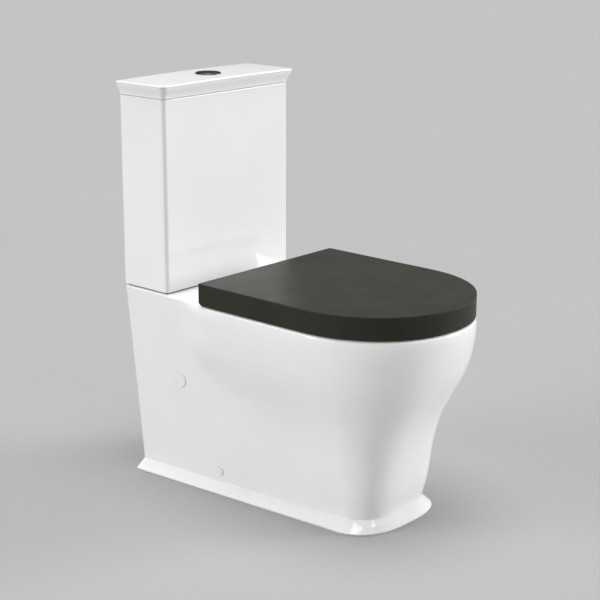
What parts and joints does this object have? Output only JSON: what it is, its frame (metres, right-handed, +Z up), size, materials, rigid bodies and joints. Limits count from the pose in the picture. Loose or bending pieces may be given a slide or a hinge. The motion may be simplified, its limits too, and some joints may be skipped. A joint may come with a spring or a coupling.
{
  "type": "back to wall toilet suite",
  "caption": "Skirted floor pan standing against a wall, with a close coupled cistern, dual flush push button and a dark wrap-over soft close seat.",
  "frame": {"origin": "on the floor, under the middle of the suite's width and depth", "axes": "+Z up, front of the suite towards -Y, wall on +Y, +X to the right seen from the front"},
  "size_m": [0.3822, 0.68, 0.8052],
  "materials": {
    "vitreous_china": "gloss white glaze",
    "seat_plastic": "satin dark olive grey",
    "white_plastic": "gloss white",
    "chrome_plate": "polished plate",
    "button_plastic": "satin dark olive grey, to match the seat",
    "valve_plastic": "moulded off-white",
    "float_plastic": "moulded dark grey",
    "nylon": "natural",
    "rubber": "black moulded",
    "stainless_steel": "brushed",
    "brass": "turned"
  },
  "bodies": {
    "suite": {"pan": "vitreous_china", "cistern_tank": "vitreous_china", "tank_gasket": "rubber", "coupling_seal": "rubber", "coupling_bolts": "brass", "coupling_rubber_washers": "rubber", "coupling_plate_washers": "brass", "coupling_wing_nuts": "nylon", "flush_valve_body": "valve_plastic", "flush_valve_washer": "rubber", "flush_valve_nut": "valve_plastic", "lever_pins": "stainless_steel", "fill_valve_body": "valve_plastic", "fill_valve_washer": "rubber", "fill_valve_nut": "nylon", "float_lever_pin": "stainless_steel", "hinge_post_left": "chrome_plate", "hinge_post_right": "chrome_plate", "hinge_pin_left": "stainless_steel", "hinge_pin_right": "stainless_steel", "hinge_studs": "stainless_steel", "hinge_washers": "rubber", "hinge_wing_nuts": "nylon", "side_access_caps": "white_plastic", "floor_screw_caps": "white_plastic", "floor_bracket_left": "nylon", "floor_bracket_right": "nylon", "floor_bracket_screws": "stainless_steel"},
    "lid": {"seat_lid": "seat_plastic", "lid_bumpers": "rubber", "lid_damper": "float_plastic", "lid_bush": "nylon"},
    "ring": {"seat_ring": "seat_plastic", "ring_bumpers": "rubber", "seat_damper": "float_plastic", "seat_bush": "nylon"},
    "cistern_cover": {"cistern_lid": "vitreous_china", "button_bezel": "button_plastic", "button_lock_nut": "valve_plastic", "full_button_spring": "stainless_steel", "half_button_spring": "stainless_steel"},
    "full_button": {"full_flush_button": "button_plastic", "full_push_rod": "valve_plastic"},
    "half_button": {"half_flush_button": "button_plastic", "half_push_rod": "valve_plastic"},
    "full_lever": {"full_lift_lever": "float_plastic"},
    "half_lever": {"half_lift_lever": "float_plastic"},
    "spindle": {"flush_spindle": "valve_plastic", "spindle_seal": "rubber"},
    "half_sleeve": {"half_flush_sleeve": "float_plastic"},
    "float": {"float_cup": "float_plastic", "float_link_rod": "stainless_steel"},
    "float_arm": {"float_lever": "valve_plastic"}
  },
  "joints": [
    {"name": "lid_hinge", "type": "hinge", "parent": "suite", "child": "lid", "pos_m": [0, 0.1045, 0.421], "axis": [-1, 0, 0], "range_deg": [0, 100]},
    {"name": "seat_hinge", "type": "hinge", "parent": "suite", "child": "ring", "pos_m": [0, 0.1045, 0.421], "axis": [-1, 0, 0], "range_deg": [0, 95]},
    {"name": "cistern_lid_lift", "type": "slide", "parent": "suite", "child": "cistern_cover", "axis": [0, 0, 1], "range_m": [0, 0.2]},
    {"name": "full_flush", "type": "slide", "parent": "cistern_cover", "child": "full_button", "axis": [0, 0, -1], "range_m": [0, 0.006], "stiffness_N_per_m": 400, "springref_m": -0.004, "deforming": ["full_button_spring"]},
    {"name": "full_lever_pivot", "type": "hinge", "parent": "suite", "child": "full_lever", "pos_m": [0.03, 0.2755, 0.598], "axis": [0, 1, 0], "range_deg": [0, 19.2]},
    {"name": "spindle_lift", "type": "slide", "parent": "suite", "child": "spindle", "axis": [0, 0, 1], "range_m": [0, 0.008]},
    {"name": "half_flush", "type": "slide", "parent": "cistern_cover", "child": "half_button", "axis": [0, 0, -1], "range_m": [0, 0.006], "stiffness_N_per_m": 400, "springref_m": -0.004, "deforming": ["half_button_spring"]},
    {"name": "half_lever_pivot", "type": "hinge", "parent": "suite", "child": "half_lever", "pos_m": [-0.03, 0.2755, 0.581], "axis": [0, -1, 0], "range_deg": [0, 19.2]},
    {"name": "half_sleeve_lift", "type": "slide", "parent": "suite", "child": "half_sleeve", "axis": [0, 0, 1], "range_m": [0, 0.008]},
    {"name": "float_rise", "type": "slide", "parent": "suite", "child": "float", "axis": [0, 0, 1], "range_m": [0, 0.025]},
    {"name": "float_lever_pivot", "type": "hinge", "parent": "suite", "child": "float_arm", "pos_m": [-0.105, 0.2485, 0.668], "axis": [0, -1, 0], "range_deg": [0, 36]}
  ],
  "couplings": [
    {"joint": "seat_hinge", "follows": "lid_hinge", "ratio": 0.95},
    {"joint": "full_lever_pivot", "follows": "full_flush", "rad_per_m": 55.556},
    {"joint": "spindle_lift", "follows": "full_flush", "ratio": 1.3333},
    {"joint": "half_lever_pivot", "follows": "half_flush", "rad_per_m": 55.556},
    {"joint": "half_sleeve_lift", "follows": "half_flush", "ratio": 1.3333},
    {"joint": "float_lever_pivot", "follows": "float_rise", "rad_per_m": 25}
  ]
}
